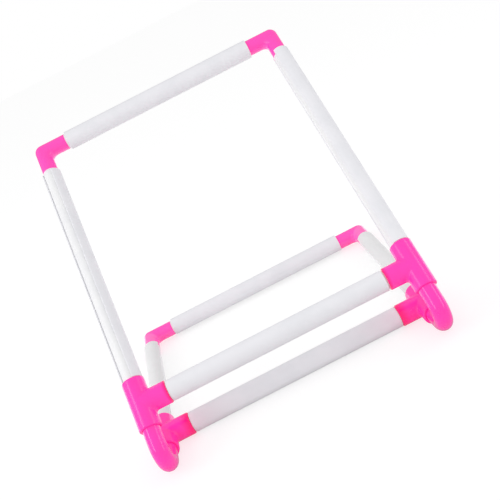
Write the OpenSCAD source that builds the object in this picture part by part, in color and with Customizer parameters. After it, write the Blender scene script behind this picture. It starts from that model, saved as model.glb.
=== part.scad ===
// Square needlework frame on a low stand, made of push-fit plastic tube.
// A sloping frame holds the cloth under clamps that snap over its tubes, and two bends join it to a flat base.
// The floor is z = 0, the front faces -Y, and the origin is below the middle of the whole stand.

/* [Stand] */
// Distance between the axes of the left and the right tubes
stand_width = 328; // [200:1:600]
// Distance between the axes of the front and the top rail, along the slope
frame_length = 372.5; // [250:0.5:600]
// Distance between the axes of the lower and the rear rail
base_length = 252.5; // [200:0.5:500]
// Slope of the frame above the floor, in degrees
frame_tilt = 39.3; // [30:0.1:55]

/* [Tubes] */
// Outside diameter of every tube, elbow arm and bend
tube_d = 20; // [18:0.5:24]
// Wall of a tube
tube_wall = 2; // [1.5:0.1:3]
// Bevel on the ends of a tube
tube_bevel = 0.4; // [0.2:0.1:0.6]

/* [Tees] */
// Wall around a socket of a tee
tee_wall = 2.85; // [1.6:0.05:3.2]
// Depth of a socket
socket_depth = 17.5; // [12:0.5:17.5]
// Length of a tee's run, from its middle to either end
tee_half_run = 29.5; // [28:0.5:34]
// Length of a tee's branch, from the run's axis to its end
tee_branch = 33; // [31:0.5:38]
// Rounding on the rim of a socket
rim_round = 1.5; // [0.4:0.1:1.5]

/* [Elbows and bends] */
// Length of an elbow's arm, from the corner of the axes to its shoulder
elbow_arm = 34; // [28:0.5:38]
// Radius in the inner corner of an elbow
elbow_fillet = 7; // [4:0.5:9]
// Length of the plug on an elbow, inside the tube
plug_length = 15; // [10:0.5:20]
// Radius of a bend, measured to its axis
bend_radius = 17.5; // [14:0.5:24]
// Straight length of a bend that shows outside a socket
bend_straight = 16.9; // [8:0.1:24]

/* [Clamps] */
// Wall of a clamp
clamp_wall = 1.95; // [1.4:0.05:2.4]
// Opening of a clamp's slot, in degrees
clamp_slot = 90; // [70:1:120]
// Distance from the top left corner of the axes to the top rail's clamp
top_clamp_left = 36; // [24:0.5:80]
// Distance from the top right corner of the axes to the top rail's clamp
top_clamp_right = 32.5; // [24:0.5:80]
// Distance from the rear left corner of the axes to the rear rail's clamp
rear_clamp_left = 35.5; // [24:0.5:80]
// Distance from the rear right corner of the axes to the rear rail's clamp
rear_clamp_right = 33; // [24:0.5:80]
// Distance from the top left corner of the axes to the left side's clamp
left_clamp_back = 36; // [24:0.5:80]
// Distance from the top right corner of the axes to the right side's clamp
right_clamp_back = 29.5; // [24:0.5:80]
// Distance from a rear corner of the axes to the leg's clamp
leg_clamp_back = 32.5; // [24:0.5:80]
// Gap between a clamp and the tee beside it
tee_clamp_gap = 0.5; // [0.3:0.1:10]
// Gap between the front rail's clamp and the right tee
front_clamp_gap = 1.5; // [0.3:0.1:10]

/* [Fit] */
// Gap all round between a tube and its socket, plug or clamp
fit_gap = 0.05; // [0.02:0.01:0.1]

/* [Hidden] */
$fn = 96;
tube_r = tube_d / 2;
bore_r = tube_r - tube_wall;
socket_r = tube_r + fit_gap;
tee_r = socket_r + tee_wall;
clamp_in_r = tube_r + fit_gap;
clamp_out_r = clamp_in_r + clamp_wall;
plug_r = bore_r - fit_gap;
plug_wall = 2;
plug_bore_r = plug_r - plug_wall;

// The bore behind a branch's stop is narrower than the tube's own
stop_step = 0.5;
branch_bore_r = bore_r - stop_step;

// How far a cutting shape runs past the face that it opens
cut_over = 1;

// Where the tubes stop inside the tees
run_stop = tee_half_run - socket_depth;
branch_stop = tee_branch - socket_depth;

// Lengths of the tubes between their stops
long_cross_length = stand_width - 2 * branch_stop;
short_cross_length = stand_width - 2 * elbow_arm;
side_length = frame_length - run_stop - elbow_arm;
leg_length = base_length - run_stop - elbow_arm;

// Side view of the axes, with the lower rail at (0, 0)
bend_reach = tee_half_run + bend_straight;
bend_turn = 180 - frame_tilt;
side_x = stand_width / 2;
front_y = bend_reach * (cos(frame_tilt) - 1) - bend_radius * sin(frame_tilt);
front_z = bend_reach * sin(frame_tilt) + bend_radius * (1 + cos(frame_tilt));
top_y = front_y + frame_length * cos(frame_tilt);

// The whole stand reaches from the bends to whichever rail is furthest back
reach_front = -bend_reach - bend_radius - tube_r;
reach_back = max(top_y, base_length) + clamp_out_r;
base_y = -(reach_front + reach_back) / 2;

// It rests on its tees, or on its clamps where those are thicker
base_z = max(tee_r, clamp_out_r);

// Step and overlap where an arc or a ball of a fitting runs into a straight arm
seam_step = 0.02;
seam_turn = 0.5;

// Where the clamps beside a tee begin, along a cross rail and along a side or a leg
cross_clamp_start = tee_branch + tee_clamp_gap;
side_clamp_start = tee_half_run + tee_clamp_gap;

// Radius of the round lip along each edge of a clamp's slot
lip_share = 0.45;
lip_r = clamp_wall * lip_share;

// Direction of each clamp's slot, seen along the tube's axis
top_slot = -90;
front_slot = -90;
lower_slot = -60;
rear_slot = -98;
left_slot = -113;
right_slot = -167;
left_leg_slot = 14;
right_leg_slot = 166;

white_tube = [0.97, 0.97, 0.96];
white_clamp = [0.93, 0.93, 0.95];
hot_pink = [1.0, 0.16, 0.6];

// Places: children stand on the lower rail's axis, or on the front rail's axis with +Y up the slope
module on_base() {
    translate([0, base_y, base_z])
        children();
}

module on_frame() {
    translate([0, base_y + front_y, base_z + front_z])
        rotate([frame_tilt, 0, 0])
            children();
}

// Turns a shape that is built along +Z so that it runs along +X or +Y
module run_x() {
    rotate([90, 0, 90])
        children();
}

module run_y() {
    rotate([-90, 0, 0])
        children();
}

// A tube from z = 0 to its length, with its end edges bevelled
module tube(length) {
    color(white_tube)
        rotate_extrude()
            polygon([
                [bore_r, 0],
                [tube_r - tube_bevel, 0],
                [tube_r, tube_bevel],
                [tube_r, length - tube_bevel],
                [tube_r - tube_bevel, length],
                [bore_r, length]
            ]);
}

// Cross-section of a clamp, with its slot centred on +X and a round lip on each edge
module clamp_section() {
    lip_place = clamp_in_r + clamp_wall / 2;
    slot_reach = 2 * clamp_out_r;
    slot_tip = 3 * clamp_out_r;
    half_slot = clamp_slot / 2;
    difference() {
        circle(r = clamp_out_r);
        circle(r = clamp_in_r);
        polygon([
            [0, 0],
            slot_reach * [cos(half_slot), -sin(half_slot)],
            [slot_tip, 0],
            slot_reach * [cos(half_slot), sin(half_slot)]
        ]);
    }
    for (side = [-1, 1])
        rotate(side * half_slot)
            translate([lip_place, 0])
                circle(r = lip_r, $fn = 32);
}

// A clamp from z = 0 to its length, with its slot turned to the given direction
module clamp(length, slot) {
    color(white_clamp)
        rotate(slot)
            linear_extrude(length)
                clamp_section();
}

// One socket barrel of a tee along +Z, with a rounded rim at its far end
module barrel(length) {
    rotate_extrude() {
        square([tee_r, length - rim_round]);
        square([tee_r - rim_round, length]);
        translate([tee_r - rim_round, length - rim_round])
            circle(r = rim_round, $fn = 32);
    }
}

// A tee with its run along Y and its branch along +X
module tee() {
    color(hot_pink)
        difference() {
            union() {
                run_y() barrel(tee_half_run);
                mirror([0, 1, 0]) run_y() barrel(tee_half_run);
                run_x() barrel(tee_branch);
            }
            run_y()
                cylinder(r = bore_r, h = 2 * (run_stop + cut_over), center = true);
            for (end = [0, 1])
                mirror([0, end, 0])
                    run_y()
                        translate([0, 0, run_stop])
                            cylinder(r = socket_r, h = socket_depth + cut_over);
            run_x()
                cylinder(r = branch_bore_r, h = branch_stop + cut_over);
            run_x()
                translate([0, 0, branch_stop])
                    cylinder(r = socket_r, h = socket_depth + cut_over);
        }
}

// One arm of an elbow along +Z, with the plug that enters the tube
module elbow_half() {
    cylinder(r = tube_r, h = elbow_arm);
    difference() {
        translate([0, 0, elbow_arm - cut_over])
            cylinder(r = plug_r, h = plug_length + cut_over);
        translate([0, 0, elbow_arm])
            cylinder(r = plug_bore_r, h = plug_length + cut_over);
    }
}

// An elbow with its corner at the origin and its arms along +X and +Y
module elbow() {
    corner_r = tube_r - seam_step;
    fillet_axis = tube_r + elbow_fillet;
    color(hot_pink)
        union() {
            run_x() elbow_half();
            run_y() elbow_half();
            sphere(r = corner_r);
            translate([fillet_axis, fillet_axis, 0])
                rotate([0, 0, 180])
                    rotate_extrude(angle = 90)
                        translate([fillet_axis, 0])
                            circle(r = corner_r);
        }
}

// A solid round bar along the axis of a bend. The arc is a hair slimmer than the straight ends
// and runs a little way into them.
module bend_bar(r, end_length) {
    translate([0, -bend_reach, 0])
        run_y() cylinder(r = r, h = end_length);
    translate([0, -bend_reach, bend_radius])
        rotate([0, -90, 0])
            rotate([0, 0, 180 - seam_turn])
                rotate_extrude(angle = bend_turn + 2 * seam_turn)
                    translate([bend_radius, 0])
                        circle(r = r - seam_step);
    translate([0, front_y, front_z])
        rotate([frame_tilt, 0, 0])
            translate([0, -bend_reach, 0])
                run_y() cylinder(r = r, h = end_length);
}

// A hollow bend, from inside the base tee round to inside the frame tee
module bend() {
    end_length = bend_straight + socket_depth;
    color(hot_pink)
        difference() {
            bend_bar(tube_r, end_length);
            bend_bar(bore_r, end_length + cut_over);
        }
}

module top_rail_tube() {
    on_frame()
        translate([-short_cross_length / 2, frame_length, 0])
            run_x() tube(short_cross_length);
}

module front_rail_tube() {
    on_frame()
        translate([-long_cross_length / 2, 0, 0])
            run_x() tube(long_cross_length);
}

module side_tube(side) {
    on_frame()
        translate([side * side_x, run_stop, 0])
            run_y() tube(side_length);
}

module left_side_tube() {
    side_tube(-1);
}

module right_side_tube() {
    side_tube(1);
}

module lower_rail_tube() {
    on_base()
        translate([-long_cross_length / 2, 0, 0])
            run_x() tube(long_cross_length);
}

module rear_rail_tube() {
    on_base()
        translate([-short_cross_length / 2, base_length, 0])
            run_x() tube(short_cross_length);
}

module leg_tube(side) {
    on_base()
        translate([side * side_x, run_stop, 0])
            run_y() tube(leg_length);
}

module left_leg_tube() {
    leg_tube(-1);
}

module right_leg_tube() {
    leg_tube(1);
}

module top_rail_clamp() {
    on_frame()
        translate([top_clamp_left - side_x, frame_length, 0])
            run_x() clamp(stand_width - top_clamp_left - top_clamp_right, top_slot);
}

module front_rail_clamp() {
    on_frame()
        translate([cross_clamp_start - side_x, 0, 0])
            run_x() clamp(stand_width - cross_clamp_start - tee_branch - front_clamp_gap, front_slot);
}

module side_clamp(side, back_end, slot) {
    on_frame()
        translate([side * side_x, side_clamp_start, 0])
            run_y() clamp(frame_length - back_end - side_clamp_start, slot);
}

module left_side_clamp() {
    side_clamp(-1, left_clamp_back, left_slot);
}

module right_side_clamp() {
    side_clamp(1, right_clamp_back, right_slot);
}

module lower_rail_clamp() {
    on_base()
        translate([cross_clamp_start - side_x, 0, 0])
            run_x() clamp(stand_width - 2 * cross_clamp_start, lower_slot);
}

module rear_rail_clamp() {
    on_base()
        translate([rear_clamp_left - side_x, base_length, 0])
            run_x() clamp(stand_width - rear_clamp_left - rear_clamp_right, rear_slot);
}

module leg_clamp(side, slot) {
    on_base()
        translate([side * side_x, side_clamp_start, 0])
            run_y() clamp(base_length - leg_clamp_back - side_clamp_start, slot);
}

module left_leg_clamp() {
    leg_clamp(-1, left_leg_slot);
}

module right_leg_clamp() {
    leg_clamp(1, right_leg_slot);
}

// The elbows' arms point inwards and towards the front
module corner_elbow(side) {
    translate([side * side_x, 0, 0])
        mirror([side > 0 ? 1 : 0, 0, 0])
            mirror([0, 1, 0])
                elbow();
}

module top_left_elbow() {
    on_frame()
        translate([0, frame_length, 0])
            corner_elbow(-1);
}

module top_right_elbow() {
    on_frame()
        translate([0, frame_length, 0])
            corner_elbow(1);
}

module rear_left_elbow() {
    on_base()
        translate([0, base_length, 0])
            corner_elbow(-1);
}

module rear_right_elbow() {
    on_base()
        translate([0, base_length, 0])
            corner_elbow(1);
}

// The tees' branches point inwards
module side_tee(side) {
    translate([side * side_x, 0, 0])
        mirror([side > 0 ? 1 : 0, 0, 0])
            tee();
}

module left_frame_tee() {
    on_frame() side_tee(-1);
}

module right_frame_tee() {
    on_frame() side_tee(1);
}

module left_base_tee() {
    on_base() side_tee(-1);
}

module right_base_tee() {
    on_base() side_tee(1);
}

module left_bend() {
    on_base()
        translate([-side_x, 0, 0])
            bend();
}

module right_bend() {
    on_base()
        translate([side_x, 0, 0])
            bend();
}

top_rail_tube();
front_rail_tube();
left_side_tube();
right_side_tube();
lower_rail_tube();
rear_rail_tube();
left_leg_tube();
right_leg_tube();
top_rail_clamp();
front_rail_clamp();
left_side_clamp();
right_side_clamp();
lower_rail_clamp();
rear_rail_clamp();
left_leg_clamp();
right_leg_clamp();
top_left_elbow();
top_right_elbow();
rear_left_elbow();
rear_right_elbow();
left_frame_tee();
right_frame_tee();
left_base_tee();
right_base_tee();
left_bend();
right_bend();
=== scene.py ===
"""Looks of a square needlework frame: white push-fit tube, white clamps and hot pink fittings.

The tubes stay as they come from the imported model. The clamps, elbows, tees and bends stand for their
nodes. They are modelled again in the same places, from sizes that repeat those of the part's source,
with their fillets, rims and rounded lips.
"""

import logging
import math
from dataclasses import dataclass
from enum import Enum
from typing import Any, Callable, Iterable, Optional, Sequence, Union

import bmesh
import bpy
import numpy as np
from mathutils import Matrix, Vector


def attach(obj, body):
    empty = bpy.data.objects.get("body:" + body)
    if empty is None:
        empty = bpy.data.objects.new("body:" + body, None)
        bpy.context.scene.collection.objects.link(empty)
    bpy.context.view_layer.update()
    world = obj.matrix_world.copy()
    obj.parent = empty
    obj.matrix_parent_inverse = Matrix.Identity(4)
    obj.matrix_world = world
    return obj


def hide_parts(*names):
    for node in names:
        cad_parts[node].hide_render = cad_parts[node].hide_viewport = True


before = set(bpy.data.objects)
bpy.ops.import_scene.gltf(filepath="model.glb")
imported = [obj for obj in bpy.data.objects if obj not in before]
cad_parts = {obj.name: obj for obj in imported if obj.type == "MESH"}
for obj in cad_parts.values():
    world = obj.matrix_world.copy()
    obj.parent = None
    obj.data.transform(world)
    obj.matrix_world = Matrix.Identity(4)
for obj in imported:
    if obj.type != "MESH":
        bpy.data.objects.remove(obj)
log = logging.getLogger("needlework_frame")

MM = 0.001
# Points closer than WELD become one, and TINY is the length below which nothing is told apart.
WELD = 0.002 * MM
TINY = 0.001 * MM
SHARP = math.radians(38)

# Directions of an arm, as columns: its angle 0, its quarter turn and its length.
ALONG_X = np.array([[0, 0, 1], [1, 0, 0], [0, 1, 0]], float)
ALONG_Y = np.array([[1, 0, 0], [0, 0, 1], [0, 1, 0]], float)
AGAINST_Y = np.array([[1, 0, 0], [0, 0, -1], [0, 1, 0]], float)

Colour = tuple[float, float, float]
Number = Union[float, "Sock"]


class Side(Enum):
    """The stand's two sides, with the sign of X on each."""

    LEFT = -1
    RIGHT = 1


class Plane(Enum):
    """The two rectangles of tube that the stand is made of."""

    BASE = "base"
    FRAME = "frame"


class Run(Enum):
    """Which way a tube runs in its rectangle, as the matrix that turns +Z that way."""

    ACROSS = ((0, 0, 1, 0), (1, 0, 0, 0), (0, 1, 0, 0), (0, 0, 0, 1))
    ALONG = ((1, 0, 0, 0), (0, 0, 1, 0), (0, -1, 0, 0), (0, 0, 0, 1))

    @property
    def matrix(self) -> Matrix:
        """The turn as a Blender matrix."""
        return Matrix(self.value)


@dataclass(frozen=True)
class StandSizes:
    """Sizes that the pieces share, in metres and radians, as the part's source has them."""

    stand_width: float = 328 * MM
    frame_length: float = 372.5 * MM
    base_length: float = 252.5 * MM
    tilt: float = math.radians(39.3)
    tube_r: float = 10 * MM
    tube_wall: float = 2 * MM
    fit_gap: float = 0.05 * MM
    tee_r: float = 12.9 * MM
    tee_half_run: float = 29.5 * MM
    tee_branch: float = 33 * MM
    socket_depth: float = 17.5 * MM
    elbow_arm: float = 34 * MM
    elbow_fillet: float = 7 * MM
    plug_length: float = 15 * MM
    bend_radius: float = 17.5 * MM
    bend_straight: float = 16.9 * MM
    clamp_wall: float = 1.95 * MM
    clamp_slot: float = math.radians(90)

    @property
    def side_x(self) -> float:
        """Distance of a side tube's axis from the middle."""
        return self.stand_width / 2

    @property
    def bend_reach(self) -> float:
        """Distance from a tee's middle to where its bend starts to turn."""
        return self.tee_half_run + self.bend_straight

    @property
    def front_offset(self) -> Vector:
        """The front rail's axis, seen from the lower rail's."""
        rise = self.bend_reach * math.sin(self.tilt) + self.bend_radius * (1 + math.cos(self.tilt))
        reach = self.bend_reach * (math.cos(self.tilt) - 1) - self.bend_radius * math.sin(self.tilt)
        return Vector((0, reach, rise))

    @property
    def base_point(self) -> Vector:
        """The middle of the lower rail's axis."""
        front = -self.bend_reach - self.bend_radius - self.tube_r
        back = max(self.front_offset.y + self.frame_length * math.cos(self.tilt), self.base_length)
        clamp_r = self.tube_r + self.fit_gap + self.clamp_wall
        return Vector((0, -(front + back + clamp_r) / 2, self.tee_r))

    def place(self, plane: Plane) -> Matrix:
        """Matrix of a rectangle of tube, with its front rail's axis at the origin and +Y to its back.

        Args:
            plane: the base or the sloping frame.

        Returns:
            The matrix from that rectangle to the stand.
        """
        if plane is Plane.BASE:
            return Matrix.Translation(self.base_point)
        return Matrix.Translation(self.base_point + self.front_offset) @ Matrix.Rotation(self.tilt, 4, "X")


class Sock:
    """An output socket that arithmetic can be written with. Each operator adds a Math node."""

    def __init__(self, tree: "Tree", socket: bpy.types.NodeSocket) -> None:
        """Keeps the tree that new nodes go into, and the socket."""
        self.tree = tree
        self.socket = socket

    def _math(self, operation: str, *values: Number) -> "Sock":
        """One Math node with this operation on these values."""
        return self.tree.node("ShaderNodeMath", {"operation": operation}, dict(enumerate(values)))

    def __add__(self, other: Number) -> "Sock":
        """self + other"""
        return self._math("ADD", self, other)

    def __radd__(self, other: Number) -> "Sock":
        """other + self"""
        return self._math("ADD", other, self)

    def __sub__(self, other: Number) -> "Sock":
        """self - other"""
        return self._math("SUBTRACT", self, other)

    def __rsub__(self, other: Number) -> "Sock":
        """other - self"""
        return self._math("SUBTRACT", other, self)

    def __mul__(self, other: Number) -> "Sock":
        """self * other"""
        return self._math("MULTIPLY", self, other)

    def __rmul__(self, other: Number) -> "Sock":
        """other * self"""
        return self._math("MULTIPLY", other, self)

    def __truediv__(self, other: Number) -> "Sock":
        """self / other"""
        return self._math("DIVIDE", self, other)

    def __rtruediv__(self, other: Number) -> "Sock":
        """other / self"""
        return self._math("DIVIDE", other, self)

    def cos(self) -> "Sock":
        """Cosine of an angle in radians."""
        return self._math("COSINE", self)

    def sin(self) -> "Sock":
        """Sine of an angle in radians."""
        return self._math("SINE", self)

    def remap(self, low: float, high: float, to_low: float = 0.0, to_high: float = 1.0) -> "Sock":
        """Takes low to to_low and high to to_high, smoothly, and holds them outside.

        Args:
            low: the value that becomes to_low.
            high: the value that becomes to_high.
            to_low: lowest result.
            to_high: highest result.

        Returns:
            The remapped socket.
        """
        return self.tree.node(
            "ShaderNodeMapRange",
            {"interpolation_type": "SMOOTHSTEP"},
            {"Value": self, "From Min": low, "From Max": high, "To Min": to_low, "To Max": to_high},
            "Result",
        )


class Tree:
    """A node tree under construction, for a material or for Geometry Nodes."""

    def __init__(self, tree: bpy.types.NodeTree) -> None:
        """Keeps Blender's tree."""
        self.tree = tree

    def node(
        self,
        kind: str,
        settings: Optional[dict[str, Any]] = None,
        inputs: Optional[dict[Union[str, int], Any]] = None,
        output: Union[str, int] = 0,
    ) -> Sock:
        """Adds one node.

        Args:
            kind: Blender's name of the node's type.
            settings: properties of the node, set first.
            inputs: values or sockets for its inputs, by name or number.
            output: the output that is wanted, by name or number.

        Returns:
            That output, ready for arithmetic.
        """
        made = self.tree.nodes.new(kind)
        for name, value in (settings or {}).items():
            setattr(made, name, value)
        for name, value in (inputs or {}).items():
            if isinstance(value, Sock):
                self.tree.links.new(value.socket, made.inputs[name])
            else:
                made.inputs[name].default_value = value
        return Sock(self, made.outputs[output])

    def mix(self, share: Sock, first: Any, second: Any) -> Sock:
        """A colour between two, each a socket or four plain numbers, by a share from 0 to 1."""
        kind = {"data_type": "RGBA", "blend_type": "MIX"}
        return self.node("ShaderNodeMix", kind, {0: share, 6: first, 7: second}, 2)

    def noise(self, place: Sock, scale: float, detail: float, rough: float) -> Sock:
        """Noise of this scale, from 0 to 1, on these coordinates."""
        values = {"Vector": place, "Scale": scale, "Detail": detail, "Roughness": rough}
        return self.node("ShaderNodeTexNoise", {"noise_dimensions": "3D"}, values, "Fac")


@dataclass(frozen=True)
class Plastic:
    """A moulded or extruded plastic with a faint surface of its own.

    grain is the size of its surface noise in metres, stretch how much longer that noise is along the
    piece's length than across it, and bump its height. turn lays the piece's length along +Z. Broad
    clouds, cloud_scale of them in a metre, lead from base to shade, and make cloud_share of the change
    in roughness. glow is a painted glow, an emission that stands for the light of a fluorescent pigment
    and keeps the colour bright in shade. coat is a clear layer and coat_roughness how dull it is. A
    moulded piece has a parting line, ridge times as high as the grain, which falls off between the two
    distances of line_width. Its attribute of painted light and shade leads to the painted shade colour
    at -1 and to the painted light colour at 1.
    """

    name: str
    base: Colour
    shade: Colour
    roughness: float
    roughness_change: float
    grain: float
    stretch: float
    bump: float
    glow: Colour = (0.0, 0.0, 0.0)
    coat: float = 0.0
    coat_roughness: float = 0.1
    turn: tuple[float, float, float] = (0.0, 0.0, 0.0)
    moulded: bool = False
    # Colours of painted shade and painted light, which the attribute of painted light and shade leads to.
    painted_shade_colour: Colour = (1.0, 0.0, 0.2)
    painted_light_colour: Colour = (1.0, 0.2, 0.62)
    cloud_scale: float = 38.0
    cloud_edges: tuple[float, float] = (0.38, 0.66)
    cloud_share: float = 0.65
    ridge: float = 4.4
    line_width: tuple[float, float] = (0.05 * MM, 0.45 * MM)

    def material(self) -> bpy.types.Material:
        """Builds the material.

        Returns:
            A material whose patterns lie on Object coordinates, turned so that +Z is along the piece.
        """
        made = bpy.data.materials.new(self.name)
        made.use_nodes = True
        tree = Tree(made.node_tree)
        shader = made.node_tree.nodes["Principled BSDF"]
        place = tree.node("ShaderNodeTexCoord", output="Object")
        points = {"vector_type": "POINT"}
        turned = tree.node("ShaderNodeMapping", points, {"Vector": place, "Rotation": self.turn})
        drawn_out = (1.0, 1.0, 1.0 / self.stretch)
        drawn = tree.node("ShaderNodeMapping", points, {"Vector": turned, "Scale": drawn_out})
        fine = tree.noise(drawn, scale=1.0 / self.grain, detail=3.0, rough=0.55)
        cloud = tree.noise(turned, scale=self.cloud_scale, detail=2.0, rough=0.5).remap(*self.cloud_edges)
        colour = tree.mix(cloud, (*self.base, 1.0), (*self.shade, 1.0))
        patches = self.cloud_share * cloud + (1.0 - self.cloud_share) * fine
        rough = self.roughness + self.roughness_change * (patches - 0.5)
        height = fine
        if self.moulded:
            away = tree.node("ShaderNodeAttribute", {"attribute_name": "parting"}, output="Fac")
            height = fine + self.ridge * away.remap(*self.line_width, 1.0, 0.0)
            # Painted shade below 0 and painted light above 0, read from an attribute of the mesh.
            painted_light_and_shade = tree.node("ShaderNodeAttribute", {"attribute_name": "painted_light_and_shade"}, output="Fac")
            for end, towards in ((-1.0, self.painted_shade_colour), (1.0, self.painted_light_colour)):
                colour = tree.mix((end * painted_light_and_shade).remap(0.0, 1.0), colour, (*towards, 1.0))
        relief = {"Strength": 1.0, "Distance": self.bump, "Height": height}
        bump = tree.node("ShaderNodeBump", {}, relief, "Normal")
        links = made.node_tree.links
        links.new(colour.socket, shader.inputs["Base Color"])
        links.new(rough.socket, shader.inputs["Roughness"])
        links.new(bump.socket, shader.inputs["Normal"])
        shader.inputs["IOR"].default_value = 1.5
        shader.inputs["Coat Weight"].default_value = self.coat
        shader.inputs["Coat Roughness"].default_value = self.coat_roughness
        # Painted glow: an emission, lit by no lamp, that stands for fluorescence and keeps the red bright in
        # shade.
        if any(self.glow):
            shader.inputs["Emission Color"].default_value = (*self.glow, 1.0)
            shader.inputs["Emission Strength"].default_value = 1.0
        return made


def turn_of(plane: Plane, run: Run, sizes: StandSizes) -> tuple[float, float, float]:
    """Rotation of a Mapping node that lays a tube's own length along +Z.

    Args:
        plane: the rectangle that the tube belongs to.
        run: which way it runs there.
        sizes: the stand's sizes.

    Returns:
        Euler angles in radians.
    """
    matrix = sizes.place(plane).to_3x3() @ run.matrix.to_3x3()
    angles = matrix.inverted().to_euler("XYZ")
    return tuple(round(a, 6) for a in angles)


class Finishes:
    """The stand's plastics, with one material for each way that a tube runs."""

    def __init__(self, sizes: StandSizes) -> None:
        """Keeps the sizes, from which a tube's direction comes."""
        self.sizes = sizes
        self.made: dict[str, bpy.types.Material] = {}

    def _keep(self, plastic: Plastic) -> bpy.types.Material:
        """The material of a plastic, built once."""
        if plastic.name not in self.made:
            self.made[plastic.name] = plastic.material()
        return self.made[plastic.name]

    def tube(self, plane: Plane, run: Run) -> bpy.types.Material:
        """White extruded tube that runs this way."""
        return self._keep(Plastic(
            name=f"white_tube_{plane.value}_{run.name.lower()}",
            base=(0.86, 0.86, 0.87), shade=(0.83, 0.83, 0.85),
            roughness=0.30, roughness_change=0.10, grain=0.0011, stretch=60.0, bump=0.00002,
            turn=turn_of(plane, run, self.sizes),
        ))

    def clamp(self, plane: Plane, run: Run) -> bpy.types.Material:
        """White extruded clamp that runs this way. The legs' clamps are of a warmer white."""
        warm = plane is Plane.BASE and run is Run.ALONG
        return self._keep(Plastic(
            name=f"white_clamp_{plane.value}_{run.name.lower()}",
            base=(0.84, 0.84, 0.845) if warm else (0.84, 0.835, 0.87),
            shade=(0.815, 0.815, 0.82) if warm else (0.81, 0.81, 0.845),
            roughness=0.50, roughness_change=0.12, grain=0.0014, stretch=80.0, bump=0.00003,
            turn=turn_of(plane, run, self.sizes),
        ))

    def pink(self, name: str, moulded: bool) -> bpy.types.Material:
        """Hot pink fluorescent plastic with a clear gloss, which is duller on the moulded fittings, and a
        painted glow.
        """
        return self._keep(Plastic(
            name=name, base=(1.0, 0.046, 0.49), shade=(1.0, 0.040, 0.46),
            roughness=0.24, roughness_change=0.10, grain=0.0018, stretch=1.0, bump=0.000015,
            # The glow is painted light, standing for the pigment's fluorescence.
            glow=(0.22, 0.0, 0.03), coat=0.6 if moulded else 1.0,
            coat_roughness=0.26 if moulded else 0.09, moulded=moulded,
        ))


class Shell:
    """A closed surface that is stitched together from rings of points."""

    def __init__(self) -> None:
        """Starts with no points."""
        self.points: list[np.ndarray] = []
        self.faces: list[tuple[int, ...]] = []
        self.count = 0

    def ring(self, points: np.ndarray) -> np.ndarray:
        """Adds a ring of points, each a row of three numbers, and returns their numbers."""
        numbers = np.arange(self.count, self.count + len(points))
        self.points.append(points)
        self.count += len(points)
        return numbers

    def tube(self, rings: Sequence[np.ndarray], cap: Optional[Sequence[float]] = None) -> None:
        """Stitches rings one after another, and closes the last one to a point if it is given.

        Args:
            rings: arrays of points, all of one length.
            cap: where the last ring closes.
        """
        last = None
        for points in rings:
            numbers = self.ring(points)
            if last is not None:
                for i in range(len(numbers)):
                    j = (i + 1) % len(numbers)
                    self.faces.append((last[i], last[j], numbers[j], numbers[i]))
            last = numbers
        if cap is not None:
            middle = self.ring(np.array([cap], float))[0]
            for i in range(len(last)):
                self.faces.append((last[i], last[(i + 1) % len(last)], middle))

    def mesh(
        self, name: str, matrix: Matrix, painted_light_and_shade: Callable[[np.ndarray], np.ndarray]
    ) -> bpy.types.Mesh:
        """Welds the rings, turns the faces outwards and moves the mesh to its place.

        Args:
            name: name of the mesh.
            matrix: from the piece's own axes to the stand's.
            painted_light_and_shade: gives each point, in the piece's own axes, its painted light and shade,
                from -1 for painted shade to 1 for painted light.

        Returns:
            The mesh, with its painted light and shade and how far a point is from the mould's parting plane
            as attributes.
        """
        made = bpy.data.meshes.new(name)
        made.from_pydata(np.concatenate(self.points).tolist(), [], self.faces)
        work = bmesh.new()
        work.from_mesh(made)
        bmesh.ops.remove_doubles(work, verts=work.verts, dist=WELD)
        bmesh.ops.dissolve_degenerate(work, edges=work.edges, dist=TINY)
        bmesh.ops.recalc_face_normals(work, faces=work.faces)
        for face in work.faces:
            face.smooth = True
        work.to_mesh(made)
        work.free()
        places = np.array([v.co for v in made.vertices], np.float32)
        for attribute, values in (("parting", abs(places[:, 2])), ("painted_light_and_shade", painted_light_and_shade(places))):
            kept = made.attributes.new(attribute, "FLOAT", "POINT")
            kept.data.foreach_set("value", values.astype(np.float32))
        made.transform(matrix)
        made.set_sharp_from_angle(angle=SHARP)
        return made


def lathe(
    turns: np.ndarray, profile: Iterable[tuple[float, float]], lay: np.ndarray
) -> list[np.ndarray]:
    """Rings of a turned shape.

    Args:
        turns: angles of the points round the axis.
        profile: pairs of radius and place along the axis.
        lay: matrix whose columns are the directions of angle 0, of a quarter turn, and of the axis.

    Returns:
        One array of points for each pair.
    """
    rings = []
    for radius, along in profile:
        circle = (radius * np.cos(turns), radius * np.sin(turns), np.full(len(turns), along))
        rings.append(np.column_stack(circle) @ lay.T)
    return rings


def rounded_corner(radius: float, along: float, size: float, steps: int) -> list[tuple[float, float]]:
    """A quarter round from a barrel's outside to its end face.

    Args:
        radius: outside radius of the barrel.
        along: place of the end face.
        size: radius of the rounding.
        steps: how many pairs it takes.

    Returns:
        Pairs of radius and place along the axis.
    """
    angles = np.linspace(0, math.pi / 2, steps)
    return [(radius - size + size * math.cos(a), along - size + size * math.sin(a)) for a in angles]


def placed(name: str, data: bpy.types.ID) -> bpy.types.Object:
    """A new object in the scene that holds this mesh, lamp or camera."""
    made = bpy.data.objects.new(name, data)
    bpy.context.scene.collection.objects.link(made)
    return made


def plain(holder: bpy.types.Object) -> bpy.types.Mesh:
    """The mesh that an object's modifiers make. The object is removed, and they with it.

    Args:
        holder: the object.

    Returns:
        The evaluated mesh.
    """
    view = bpy.context.evaluated_depsgraph_get()
    made = bpy.data.meshes.new_from_object(holder.evaluated_get(view))
    holder.modifiers.clear()
    bpy.data.objects.remove(holder)
    return made


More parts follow.
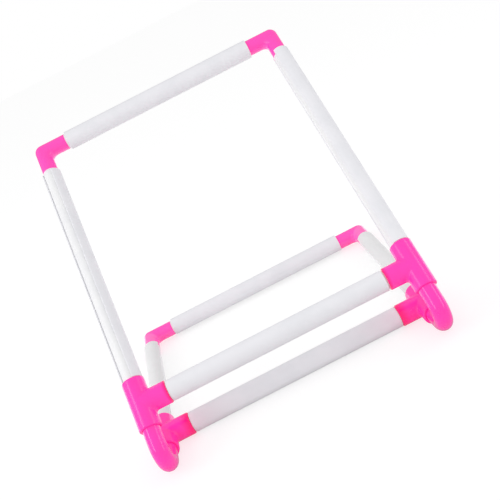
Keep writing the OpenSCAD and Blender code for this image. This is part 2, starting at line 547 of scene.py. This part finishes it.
def add_piece(
    name: str, mesh: bpy.types.Mesh, finish: bpy.types.Material, body: str
) -> None:
    """Puts a finished mesh in the scene in place of the node of the same name.

    Args:
        name: the node that the piece stands for.
        mesh: its mesh, in place.
        finish: its material.
        body: the body that it rides on.
    """
    mesh.materials.clear()
    mesh.materials.append(finish)
    piece = placed(f"{name}_shown", mesh)
    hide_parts(name)
    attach(piece, body)
    log.info("%s: %d faces", piece.name, len(mesh.polygons))


def grown(
    tree: bpy.types.NodeTree, name: str, values: dict[str, float], finish: bpy.types.Material
) -> bpy.types.Mesh:
    """The plain mesh that a Geometry Nodes tree makes.

    Args:
        tree: the tree.
        name: name of the mesh.
        values: the tree's inputs by name.
        finish: material for its Set Material node.

    Returns:
        The evaluated mesh.
    """
    holder = placed(name, bpy.data.meshes.new(name))
    modifier = holder.modifiers.new("shape", "NODES")
    modifier.node_group = tree
    for item in tree.interface.items_tree:
        if item.item_type == "SOCKET" and item.in_out == "INPUT" and item.name in values:
            modifier[item.identifier] = values[item.name]
        elif item.item_type == "SOCKET" and item.name == "Finish":
            modifier[item.identifier] = finish
    return plain(holder)


class ShapeTree(Tree):
    """A Geometry Nodes tree with named sizes, which ends in Realize Instances and Set Material."""

    def __init__(self, name: str, sizes: dict[str, float]) -> None:
        """Makes the tree with a float input for each size.

        Args:
            name: name of the tree.
            sizes: names and usual values of its inputs.
        """
        super().__init__(bpy.data.node_groups.new(name, "GeometryNodeTree"))
        for size, usual in sizes.items():
            socket = self.tree.interface.new_socket(size, in_out="INPUT", socket_type="NodeSocketFloat")
            socket.default_value = usual
        self.tree.interface.new_socket("Finish", in_out="INPUT", socket_type="NodeSocketMaterial")
        self.tree.interface.new_socket("Mesh", in_out="OUTPUT", socket_type="NodeSocketGeometry")
        self.inputs = self.tree.nodes.new("NodeGroupInput")

    def size(self, name: str) -> Sock:
        """One of the tree's inputs."""
        return Sock(self, self.inputs.outputs[name])

    def finish(self, shape: Sock) -> bpy.types.NodeTree:
        """Ends the tree with this geometry and returns it."""
        real = self.node("GeometryNodeRealizeInstances", {}, {0: shape})
        smooth = self.node("GeometryNodeSetShadeSmooth", {}, {0: real})
        dressed = self.node("GeometryNodeSetMaterial", {}, {0: smooth, "Material": self.size("Finish")})
        out = self.tree.nodes.new("NodeGroupOutput")
        self.tree.links.new(dressed.socket, out.inputs[0])
        return self.tree


@dataclass
class Clamp:
    """One clamp: its rail, how far its ends stay from the corners in front and behind, and its slot.

    For a cross rail, front is the left corner. beside is the place of the rail's axis across its own run,
    and slot is the direction of the slot, in degrees round that axis.
    """

    node: str
    plane: Plane
    run: Run
    beside: float
    front: float
    back: float
    slot: float

    def start(self, sizes: StandSizes) -> Vector:
        """Where the clamp begins, in its rectangle of tube."""
        if self.run is Run.ACROSS:
            return Vector((self.front - sizes.side_x, self.beside, 0))
        return Vector((self.beside, self.front, 0))

    def length(self, sizes: StandSizes) -> float:
        """How long the clamp is."""
        if self.run is Run.ACROSS:
            return sizes.stand_width - self.front - self.back
        whole = sizes.base_length if self.plane is Plane.BASE else sizes.frame_length
        return whole - self.front - self.back


@dataclass
class SnapClamps:
    """The eight clamps, each a strip with rounded edges that is rolled round its tube.

    The radius of a strip's edges is lip_share of its wall, in lip_steps. Its outline has a point every
    point_gap, and rows is how many outlines lie along its length. edge_round is the rounding where it
    was cut to length, in edge_steps.
    """

    sizes: StandSizes
    finishes: Finishes
    tee_gap: float = 0.5 * MM
    wide_gap: float = 1.5 * MM
    edge_round: float = 0.3 * MM
    edge_steps: int = 2
    lip_share: float = 0.45
    lip_steps: int = 7
    point_gap: float = 0.35 * MM
    rows: int = 48

    def clamps(self) -> list[Clamp]:
        """The clamps, where the part's source has them."""
        s = self.sizes
        branch = s.tee_branch + self.tee_gap
        wide = s.tee_branch + self.wide_gap
        run = s.tee_half_run + self.tee_gap
        slope, base, across, along = Plane.FRAME, Plane.BASE, Run.ACROSS, Run.ALONG
        left, right = -s.side_x, s.side_x
        top, rear = s.frame_length, s.base_length
        return [
            Clamp("top_rail_clamp", slope, across, beside=top, front=36 * MM, back=32.5 * MM, slot=-90),
            Clamp("front_rail_clamp", slope, across, beside=0, front=branch, back=wide, slot=-90),
            Clamp("left_side_clamp", slope, along, beside=left, front=run, back=36 * MM, slot=-113),
            Clamp("right_side_clamp", slope, along, beside=right, front=run, back=29.5 * MM, slot=-167),
            Clamp("lower_rail_clamp", base, across, beside=0, front=branch, back=branch, slot=-60),
            Clamp("rear_rail_clamp", base, across, beside=rear, front=35.5 * MM, back=33 * MM, slot=-98),
            Clamp("left_leg_clamp", base, along, beside=left, front=run, back=32.5 * MM, slot=14),
            Clamp("right_leg_clamp", base, along, beside=right, front=run, back=32.5 * MM, slot=166),
        ]

    def values(self, length: float) -> dict[str, float]:
        """The tree's inputs for a clamp of this length."""
        s = self.sizes
        inside = s.tube_r + s.fit_gap
        return {"Inside": inside, "Wall": s.clamp_wall, "Slot": s.clamp_slot, "Length": length}

    def tree(self) -> bpy.types.NodeTree:
        """The tree that rolls a strip into a clamp, with its slot on +X.

        Returns:
            A tree with the inputs Inside, Wall, Slot and Length.
        """
        tree = ShapeTree("rolled_clamp", self.values(self.sizes.base_length))
        middle = tree.size("Inside") + 0.5 * tree.size("Wall")
        lip = self.lip_share * tree.size("Wall")
        width = middle * (2 * math.pi - tree.size("Slot")) + 2 * lip
        outline = tree.node(
            "GeometryNodeCurvePrimitiveQuadrilateral", {"mode": "RECTANGLE"},
            {"Width": width, "Height": tree.size("Wall")},
        )
        rounded = tree.node(
            "GeometryNodeFilletCurve", {"mode": "POLY"},
            {"Curve": outline, "Radius": lip, "Count": self.lip_steps},
        )
        strip = tree.node(
            "GeometryNodeResampleCurve", {"mode": "LENGTH"}, {"Curve": rounded, "Length": self.point_gap}
        )
        end = tree.node("ShaderNodeCombineXYZ", {}, {"Z": tree.size("Length")})
        line = tree.node("GeometryNodeCurvePrimitiveLine", {"mode": "POINTS"}, {"End": end})
        rows = tree.node(
            "GeometryNodeResampleCurve", {"mode": "COUNT"}, {"Curve": line, "Count": self.rows}
        )
        flat = tree.node(
            "GeometryNodeCurveToMesh", {}, {"Curve": rows, "Profile Curve": strip, "Fill Caps": True}
        )
        place = tree.node("GeometryNodeInputPosition")
        split = self._split(tree, place)
        angle = math.pi + split[0] / middle
        radius = middle + split[1]
        rolled = tree.node(
            "ShaderNodeCombineXYZ", {}, {"X": radius * angle.cos(), "Y": radius * angle.sin(), "Z": split[2]}
        )
        shape = tree.node("GeometryNodeSetPosition", {}, {"Geometry": flat, "Position": rolled})
        return tree.finish(shape)

    @staticmethod
    def _split(tree: Tree, vector: Sock) -> tuple[Sock, Sock, Sock]:
        """The three numbers of a vector."""
        x = tree.node("ShaderNodeSeparateXYZ", {}, {0: vector}, "X")
        outputs = x.socket.node.outputs
        return x, Sock(tree, outputs["Y"]), Sock(tree, outputs["Z"])

    def build(self) -> None:
        """Makes each clamp and puts it in its place."""
        tree = self.tree()
        s = self.sizes
        for clamp in self.clamps():
            finish = self.finishes.clamp(clamp.plane, clamp.run)
            length = clamp.length(s)
            mesh = grown(tree, clamp.node, self.values(length), finish)
            self._soften_ends(mesh, length)
            start = Matrix.Translation(clamp.start(s))
            turned = Matrix.Rotation(math.radians(clamp.slot), 4, "Z")
            mesh.transform(s.place(clamp.plane) @ start @ clamp.run.matrix @ turned)
            add_piece(clamp.node, mesh, finish, clamp.node)

    def _soften_ends(self, mesh: bpy.types.Mesh, length: float) -> None:
        """Rounds the edges where the clamp was cut to length.

        Args:
            mesh: the clamp along +Z from 0.
            length: its length.
        """
        work = bmesh.new()
        work.from_mesh(mesh)
        ends = [
            e for e in work.edges
            if len(e.link_faces) == 2
            and all(min(abs(v.co.z), abs(v.co.z - length)) < TINY for v in e.verts)
        ]
        bmesh.ops.bevel(
            work, geom=ends, offset=self.edge_round, offset_type="OFFSET", segments=self.edge_steps,
            profile=0.5, affect="EDGES", clamp_overlap=True,
        )
        bmesh.ops.recalc_face_normals(work, faces=work.faces)
        # The end faces have many corners, and stay flat.
        for face in work.faces:
            face.smooth = len(face.verts) < 5
        work.to_mesh(mesh)
        work.free()


@dataclass
class Bends:
    """The two bent tubes that join the base to the frame, each swept along its own axis.

    turn_steps is the number of points along the turn, and around the number round the tube.
    """

    sizes: StandSizes
    finishes: Finishes
    turn_steps: int = 40
    around: int = 72

    def values(self) -> dict[str, float]:
        """The tree's inputs."""
        s = self.sizes
        return {
            "Tilt": s.tilt, "Reach": s.bend_reach, "Inset": s.tee_half_run - s.socket_depth,
            "Radius": s.bend_radius, "Tube": s.tube_r,
        }

    def tree(self) -> bpy.types.NodeTree:
        """The tree that sweeps a tube along two straight ends and the turn between them.

        Returns:
            A tree with the inputs Tilt, Reach, Inset, Radius and Tube.
        """
        tree = ShapeTree("bent_tube", self.values())
        tilt = tree.size("Tilt")
        half = 0.5 * tilt
        corner = tree.size("Reach") + tree.size("Radius") * half.cos() / half.sin()
        far = corner - tree.size("Inset")
        line = tree.node("GeometryNodeMeshLine", {"mode": "OFFSET", "count_mode": "TOTAL"}, {"Count": 3})
        number = tree.node("GeometryNodeInputIndex")
        equal = {"data_type": "INT", "operation": "EQUAL"}
        vector = {"input_type": "VECTOR"}
        first = tree.node("FunctionNodeCompare", equal, {2: number, 3: 0})
        last = tree.node("FunctionNodeCompare", equal, {2: number, 3: 2})
        low = tree.node("ShaderNodeCombineXYZ", {}, {"Y": far})
        high = tree.node("ShaderNodeCombineXYZ", {}, {"Y": far * tilt.cos(), "Z": far * tilt.sin()})
        start = tree.node("GeometryNodeSwitch", vector, {0: first, "True": low})
        places = tree.node("GeometryNodeSwitch", vector, {0: last, "False": start, "True": high})
        set_line = tree.node("GeometryNodeSetPosition", {}, {"Geometry": line, "Position": places})
        path = tree.node("GeometryNodeMeshToCurve", {}, {0: set_line})
        turned = tree.node(
            "GeometryNodeFilletCurve", {"mode": "POLY"},
            {"Curve": path, "Radius": tree.size("Radius"), "Count": self.turn_steps},
        )
        circle = tree.node(
            "GeometryNodeCurvePrimitiveCircle", {"mode": "RADIUS"},
            {"Resolution": self.around, "Radius": tree.size("Tube")},
        )
        swept = tree.node(
            "GeometryNodeCurveToMesh", {}, {"Curve": turned, "Profile Curve": circle, "Fill Caps": False}
        )
        return tree.finish(swept)

    def build(self) -> None:
        """Sweeps both bends, gives them their wall and puts them in place."""
        s = self.sizes
        tree = self.tree()
        corner = s.bend_reach + s.bend_radius / math.tan(s.tilt / 2)
        finish = self.finishes.pink("pink_bend", moulded=False)
        for side in Side:
            node = f"{side.name.lower()}_bend"
            holder = placed(node, grown(tree, node, self.values(), finish))
            wall = holder.modifiers.new("wall", "SOLIDIFY")
            wall.thickness = s.tube_wall
            wall.offset = -1.0
            hollow = plain(holder)
            at = s.base_point + Vector((side.value * s.side_x, -corner, 0))
            hollow.transform(Matrix.Translation(at))
            hollow.set_sharp_from_angle(angle=SHARP)
            add_piece(node, hollow, finish, "stand")


@dataclass
class Tees:
    """The four tees: a run and a branch with sockets, blended by a fillet that fades out at the sides.

    The fillet gets smaller towards the sides of the run, down to the square of least_fillet of its
    size. The first rings of an arm lie crotch_rings from where it starts, in millimetres, and far_rings
    more are spread evenly up to its rim. The first settled_rings are drawn onto the blended surface,
    in settle_rounds steps, where least_slope keeps a divisor away from zero.
    """

    sizes: StandSizes
    finishes: Finishes
    fillet: float = 3.0 * MM
    least_fillet: float = 0.01
    rim: float = 1.5 * MM
    rim_steps: int = 6
    lead_in: float = 0.4 * MM
    around: int = 96
    crotch_rings: tuple[float, ...] = (0, 0.35, 0.8, 1.3, 1.9, 2.6, 3.4, 4.4)
    far_rings: int = 6
    settled_rings: int = 10
    settle_rounds: int = 12
    least_slope: float = 0.2

    def _distance(self, p: np.ndarray) -> np.ndarray:
        """Signed distance to the run and the branch, blended where they meet.

        Args:
            p: points as rows, with the run along Y and the branch along +X.

        Returns:
            The distance of each point, negative inside.
        """
        r = self.sizes.tee_r
        run = np.hypot(p[:, 0], p[:, 2]) - r
        branch = np.sqrt(np.minimum(p[:, 0], 0) ** 2 + p[:, 1] ** 2 + p[:, 2] ** 2) - r
        size = self.fillet * np.clip(p[:, 0] / r, self.least_fillet, 1) ** 2
        corner = np.hypot(np.maximum(size - run, 0), np.maximum(size - branch, 0))
        return np.maximum(size, np.minimum(run, branch)) - corner

    def _settle(self, p: np.ndarray) -> np.ndarray:
        """Moves points onto the blended surface, along the steepest way."""
        for _ in range(self.settle_rounds):
            here = self._distance(p)
            slope = np.column_stack([
                (self._distance(p + TINY * axis) - self._distance(p - TINY * axis)) / (2 * TINY)
                for axis in np.eye(3)
            ])
            p = p - (here / np.maximum((slope ** 2).sum(1), self.least_slope))[:, None] * slope
        return p

    def _arm(
        self, length: float, crotch: np.ndarray, lay: np.ndarray, stop: float
    ) -> tuple[list[np.ndarray], np.ndarray]:
        """Rings of one arm, from where it meets the others, over its rim and down into its socket.

        Args:
            length: length of the arm from the tee's middle.
            crotch: where the arm starts, for each angle round it.
            lay: matrix whose columns are the arm's angle 0, quarter turn and length.
            stop: where the tube in the socket stops.

        Returns:
            The rings, and the point where the socket's bottom closes.
        """
        s = self.sizes
        turns = np.arange(self.around) * 2 * math.pi / self.around
        places = [crotch + d * MM for d in self.crotch_rings]
        last = places[-1]
        end = length - self.rim
        places += [last * (1 - t) + end * t for t in np.linspace(0, 1, self.far_rings + 1)[1:]]
        rings = []
        for along in places:
            ring = np.column_stack((s.tee_r * np.cos(turns), s.tee_r * np.sin(turns), along)) @ lay.T
            rings.append(self._settle(ring) if len(rings) < self.settled_rings else ring)
        socket = s.tube_r + s.fit_gap
        profile = rounded_corner(s.tee_r, length, self.rim, self.rim_steps)[1:]
        profile += [(socket + self.lead_in, length), (socket, length - self.lead_in)]
        profile += [(socket, stop), (0.5 * socket, stop)]
        rings += lathe(turns, profile, lay)
        return rings, np.array([0, 0, stop]) @ lay.T

    def mesh(self, name: str, matrix: Matrix, fade: float) -> bpy.types.Mesh:
        """One tee, with painted shade that deepens its branch's colour towards its mouth.

        Args:
            name: name of the mesh.
            matrix: where it goes.
            fade: length of the branch, back from its mouth, that carries the painted shade.

        Returns:
            Its mesh.
        """
        s = self.sizes
        turns = np.arange(self.around) * 2 * math.pi / self.around
        front = s.tee_r * np.maximum(np.cos(turns), 0)
        shell = Shell()
        run_stop = s.tee_half_run - s.socket_depth
        branch_stop = s.tee_branch - s.socket_depth
        for length, crotch, lay, stop in (
            (s.tee_half_run, front, ALONG_Y, run_stop),
            (s.tee_half_run, front, AGAINST_Y, run_stop),
            (s.tee_branch, s.tee_r * np.abs(np.cos(turns)), ALONG_X, branch_stop),
        ):
            rings, cap = self._arm(length, crotch, lay, stop)
            shell.tube(rings, cap)
        # Painted shade: the branch turns deeper red over its last fade towards the mouth, where its rounded
        # rim turns away from the light.
        return shell.mesh(name, matrix, lambda p: -np.clip(1 - (s.tee_branch - p[:, 0]) / fade, 0, 1))

    def build(self) -> None:
        """Puts a tee at each front corner of the base and of the frame."""
        finish = self.finishes.pink("pink_tee", moulded=True)
        for plane, fade in ((Plane.BASE, 13 * MM), (Plane.FRAME, 4 * MM)):
            for side in Side:
                node = f"{side.name.lower()}_{plane.value}_tee"
                at = Matrix.Translation((side.value * self.sizes.side_x, 0, 0))
                inwards = Matrix.Scale(-side.value, 4, (1, 0, 0))
                mesh = self.mesh(node, self.sizes.place(plane) @ at @ inwards, fade)
                if side is Side.RIGHT:
                    mesh.flip_normals()
                add_piece(node, mesh, finish, "stand")


@dataclass
class Elbows:
    """The four elbows: flush with the tubes, with a ball corner outside and a fillet inside.

    fade is how far past the middle of the corner one arm's painted light has turned into the other's. Each
    half of an outline has half_around points. sweep outlines go round the fillet, and arm_rings go from
    there to the shoulder, with both ends counted.
    """

    sizes: StandSizes
    finishes: Finishes
    shoulder_round: float = 0.4 * MM
    shoulder_steps: int = 4
    plug_bevel: float = 0.5 * MM
    fade: float = 5.0 * MM
    half_around: int = 40
    sweep: int = 28
    arm_rings: int = 6

    def _ring(self, swing: float) -> np.ndarray:
        """The elbow's outline in the upright plane at one swing round the fillet's middle.

        Args:
            swing: angle of that plane, from 0 at the arm along X to a quarter turn at the arm along Y.

        Returns:
            The points of the inner half and then of the outer half.
        """
        r = self.sizes.tube_r
        c = r + self.sizes.elbow_fillet
        inner = np.linspace(-math.pi / 2, math.pi / 2, self.half_around)
        outer = np.linspace(math.pi / 2, 3 * math.pi / 2, self.half_around)
        depth = r * np.abs(np.cos(outer))
        sin, cos = math.sin(swing), math.cos(swing)
        flat = (c + depth) / max(sin, cos)
        past = c - flat * min(sin, cos) < 0
        total = c * (sin + cos)
        ball = total + np.sqrt(np.maximum(total ** 2 - 2 * c * c + depth ** 2, 0))
        reach = np.concatenate((c - r * np.cos(inner), np.where(past, ball, flat)))
        height = r * np.sin(np.concatenate((inner, outer)))
        return np.column_stack((c - reach * sin, c - reach * cos, height))

    def _arm(self, lay: np.ndarray) -> list[np.ndarray]:
        """Rings of one arm, from the fillet to the shoulder and along the plug."""
        s = self.sizes
        quarter = math.pi / 2
        inner = np.linspace(-quarter, quarter, self.half_around)
        outer = np.linspace(quarter, 3 * quarter, self.half_around)
        turns = np.concatenate((inner, outer))
        plug_r = s.tube_r - s.tube_wall - s.fit_gap
        plug_end = s.elbow_arm + s.plug_length
        start = s.tube_r + s.elbow_fillet
        straight = np.linspace(start, s.elbow_arm - self.shoulder_round, self.arm_rings)[1:-1]
        profile = [(s.tube_r, float(a)) for a in straight]
        profile += rounded_corner(s.tube_r, s.elbow_arm, self.shoulder_round, self.shoulder_steps)
        profile += [(plug_r, s.elbow_arm), (plug_r, plug_end - self.plug_bevel)]
        profile += [(plug_r - self.plug_bevel, plug_end), (0.5 * plug_r, plug_end)]
        return lathe(turns, profile, lay)

    def mesh(self, name: str, matrix: Matrix, painted_light_share: tuple[float, float]) -> bpy.types.Mesh:
        """One elbow with its arms along +X and +Y, made paler by painted light.

        Args:
            name: name of the mesh.
            matrix: where it goes.
            painted_light_share: how far painted light makes its arm along +X paler, and its arm along +Y.

        Returns:
            Its mesh.
        """
        s = self.sizes
        end = s.elbow_arm + s.plug_length
        shell = Shell()
        turn = [self._ring(a) for a in np.linspace(0, math.pi / 2, self.sweep)]
        shell.tube([turn[0]] + self._arm(ALONG_X), (end, 0, 0))
        shell.tube(turn)
        shell.tube([turn[-1]] + self._arm(ALONG_Y), (0, end, 0))
        across, along = painted_light_share

        def painted_light_and_shade(p: np.ndarray) -> np.ndarray:
            """How far painted light makes each point paler."""
            return across + (along - across) * np.clip((p[:, 1] - p[:, 0]) / self.fade, 0, 1)

        return shell.mesh(name, matrix, painted_light_and_shade)

    def build(self) -> None:
        """Puts an elbow at each back corner of the base and of the frame."""
        s = self.sizes
        finish = self.finishes.pink("pink_elbow", moulded=True)
        # Painted light: the top elbows are a little paler all over, and the rear elbows' leg arms much
        # paler, where light falls from above.
        rows = (
            (Plane.FRAME, "top", s.frame_length, (0.28, 0.28)),
            (Plane.BASE, "rear", s.base_length, (0.35, 0.8)),
        )
        for plane, row, back, painted_light_share in rows:
            for side in Side:
                node = f"{row}_{side.name.lower()}_elbow"
                at = Matrix.Translation((side.value * s.side_x, back, 0))
                flip = Matrix.Diagonal((-side.value, -1, 1, 1))
                mesh = self.mesh(node, s.place(plane) @ at @ flip, painted_light_share)
                if side is Side.LEFT:
                    mesh.flip_normals()
                add_piece(node, mesh, finish, "stand")


@dataclass
class Tubes:
    """The eight tubes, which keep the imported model's meshes."""

    sizes: StandSizes
    finishes: Finishes

    def dress(self) -> None:
        """Gives each tube the white plastic that runs its way."""
        across = {"top_rail_tube": Plane.FRAME, "front_rail_tube": Plane.FRAME,
                  "lower_rail_tube": Plane.BASE, "rear_rail_tube": Plane.BASE}
        along = {"left_side_tube": Plane.FRAME, "right_side_tube": Plane.FRAME,
                 "left_leg_tube": Plane.BASE, "right_leg_tube": Plane.BASE}
        for run, nodes in ((Run.ACROSS, across), (Run.ALONG, along)):
            for node, plane in nodes.items():
                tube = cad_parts[node]
                tube.data.materials.clear()
                tube.data.materials.append(self.finishes.tube(plane, run))
                log.info("%s: dressed", node)


@dataclass
class Studio:
    """Floor, light and camera.

    From looking straight down, the camera tips up by pitch, turns to its heading and rolls about its
    own view. Lamps face the middle. world is the strength of the light from all round, and mirrored
    its strength in gloss. lit_floor is the grey of the floor as it lights the pieces. For the eye it is
    darker by eye_darker and glows by eye_glow, so it looks white and its shadow is faint. In gloss it
    is darker by gloss_step in front and glows by gloss_step behind, and turns from one to the other
    between the gloss_edges along Y.
    """

    sizes: StandSizes
    lens: float = 60.12
    sensor: float = 36.0
    camera_at: tuple[float, float, float] = (0.0136, -0.9200, 0.5014)
    heading: float = math.radians(-0.14)
    pitch: float = math.radians(67.78)
    roll: float = math.radians(-27.09)
    middle: tuple[float, float, float] = (0.0, 0.0, 0.12)
    world: float = 0.85
    mirrored: float = 0.3
    half_floor: float = 4.0
    floor_roughness: float = 0.9
    lit_floor: float = 0.8
    eye_darker: float = 0.5
    eye_glow: float = 0.72
    gloss_step: float = 0.5
    gloss_edges: tuple[float, float] = (-0.28, 0.12)

    def camera(self) -> None:
        """A camera where the photograph was taken from."""
        data = bpy.data.cameras.new("camera")
        data.lens = self.lens
        data.sensor_width = self.sensor
        data.clip_start = 0.01
        data.clip_end = 50.0
        camera = placed("camera", data)
        aim = Matrix.Rotation(self.heading, 4, "Z") @ Matrix.Rotation(self.pitch, 4, "X")
        camera.matrix_world = Matrix.Translation(self.camera_at) @ aim @ Matrix.Rotation(self.roll, 4, "Z")
        bpy.context.scene.camera = camera

    def lamp(
        self, name: str, at: tuple[float, float, float], size: tuple[float, float], power: float,
        mirrored: bool,
    ) -> None:
        """A softbox that faces the middle of the stand and lies along the slope of the frame.

        Args:
            name: name of the lamp.
            at: where it hangs.
            size: its width, and its length along the slope.
            power: its power in watts.
            mirrored: whether it shows in the pieces' gloss.
        """
        data = bpy.data.lights.new(name, "AREA")
        data.shape = "RECTANGLE"
        data.size, data.size_y = size
        data.energy = power
        lamp = placed(name, data)
        lamp.visible_glossy = mirrored
        back = (Vector(at) - Vector(self.middle)).normalized()
        slope = Vector((0, math.cos(self.sizes.tilt), math.sin(self.sizes.tilt)))
        across = slope.cross(back).normalized()
        turn = Matrix((across, back.cross(across), back)).transposed()
        lamp.matrix_world = Matrix.Translation(at) @ turn.to_4x4()

    def sky(self) -> None:
        """White to the eye, a soft even light for the rest, and dimmer in the pieces' gloss."""
        world = bpy.data.worlds.new("studio")
        bpy.context.scene.world = world
        world.use_nodes = True
        tree = Tree(world.node_tree)
        back = world.node_tree.nodes["Background"]
        back.inputs["Color"].default_value = (1.0, 1.0, 1.0, 1.0)
        path = tree.node("ShaderNodeLightPath", output="Is Camera Ray")
        glossy = Sock(tree, path.socket.node.outputs["Is Glossy Ray"])
        strength = self.world + (1.0 - self.world) * path + (self.mirrored - self.world) * glossy
        world.node_tree.links.new(strength.socket, back.inputs["Strength"])

    def floor(self) -> None:
        """A pale floor that the eye sees white, and that is dark in front and bright behind in gloss."""
        mesh = bpy.data.meshes.new("floor")
        half = self.half_floor
        corners = [(-half, -half, 0), (half, -half, 0), (half, half, 0), (-half, half, 0)]
        mesh.from_pydata(corners, [], [(0, 1, 2, 3)])
        floor = placed("floor", mesh)
        material = bpy.data.materials.new("floor")
        material.use_nodes = True
        tree = Tree(material.node_tree)
        shader = material.node_tree.nodes["Principled BSDF"]
        shader.inputs["Roughness"].default_value = self.floor_roughness
        path = tree.node("ShaderNodeLightPath", output="Is Camera Ray")
        glossy = Sock(tree, path.socket.node.outputs["Is Glossy Ray"])
        place = tree.node("ShaderNodeTexCoord", output="Object")
        behind = tree.node("ShaderNodeSeparateXYZ", {}, {0: place}, "Y").remap(*self.gloss_edges)
        light = self.lit_floor - self.eye_darker * path - self.gloss_step * glossy * (1.0 - behind)
        glow = self.eye_glow * path + self.gloss_step * glossy * behind
        for value, name in ((light, "Base Color"), (glow, "Emission Color")):
            grey = tree.node("ShaderNodeCombineColor", {}, {0: value, 1: value, 2: value})
            material.node_tree.links.new(grey.socket, shader.inputs[name])
        shader.inputs["Emission Strength"].default_value = 1.0
        mesh.materials.append(material)

    def build(self) -> None:
        """Sets up the whole studio."""
        bpy.context.scene.view_settings.view_transform = "Standard"
        self.camera()
        self.sky()
        self.floor()
        self.lamp("fill_left", at=(-1.4, -0.2, 0.6), size=(1.0, 1.0), power=4.7, mirrored=False)
        self.lamp("fill_right", at=(1.4, -0.2, 0.6), size=(1.0, 1.0), power=1.2, mirrored=False)
        self.lamp("strip_left", at=(-1.88, -0.92, 1.48), size=(0.5, 2.4), power=8.0, mirrored=True)
        self.lamp("strip_right", at=(0.81, -0.386, 0.435), size=(0.18, 1.0), power=0.8, mirrored=True)


def main() -> None:
    """Builds the stand and the studio round it."""
    logging.basicConfig(level=logging.INFO, format="%(name)s %(message)s")
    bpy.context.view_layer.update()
    sizes = StandSizes()
    finishes = Finishes(sizes)
    Tubes(sizes, finishes).dress()
    SnapClamps(sizes, finishes).build()
    Bends(sizes, finishes).build()
    Tees(sizes, finishes).build()
    Elbows(sizes, finishes).build()
    Studio(sizes).build()


if __name__ == "__main__":
    main()
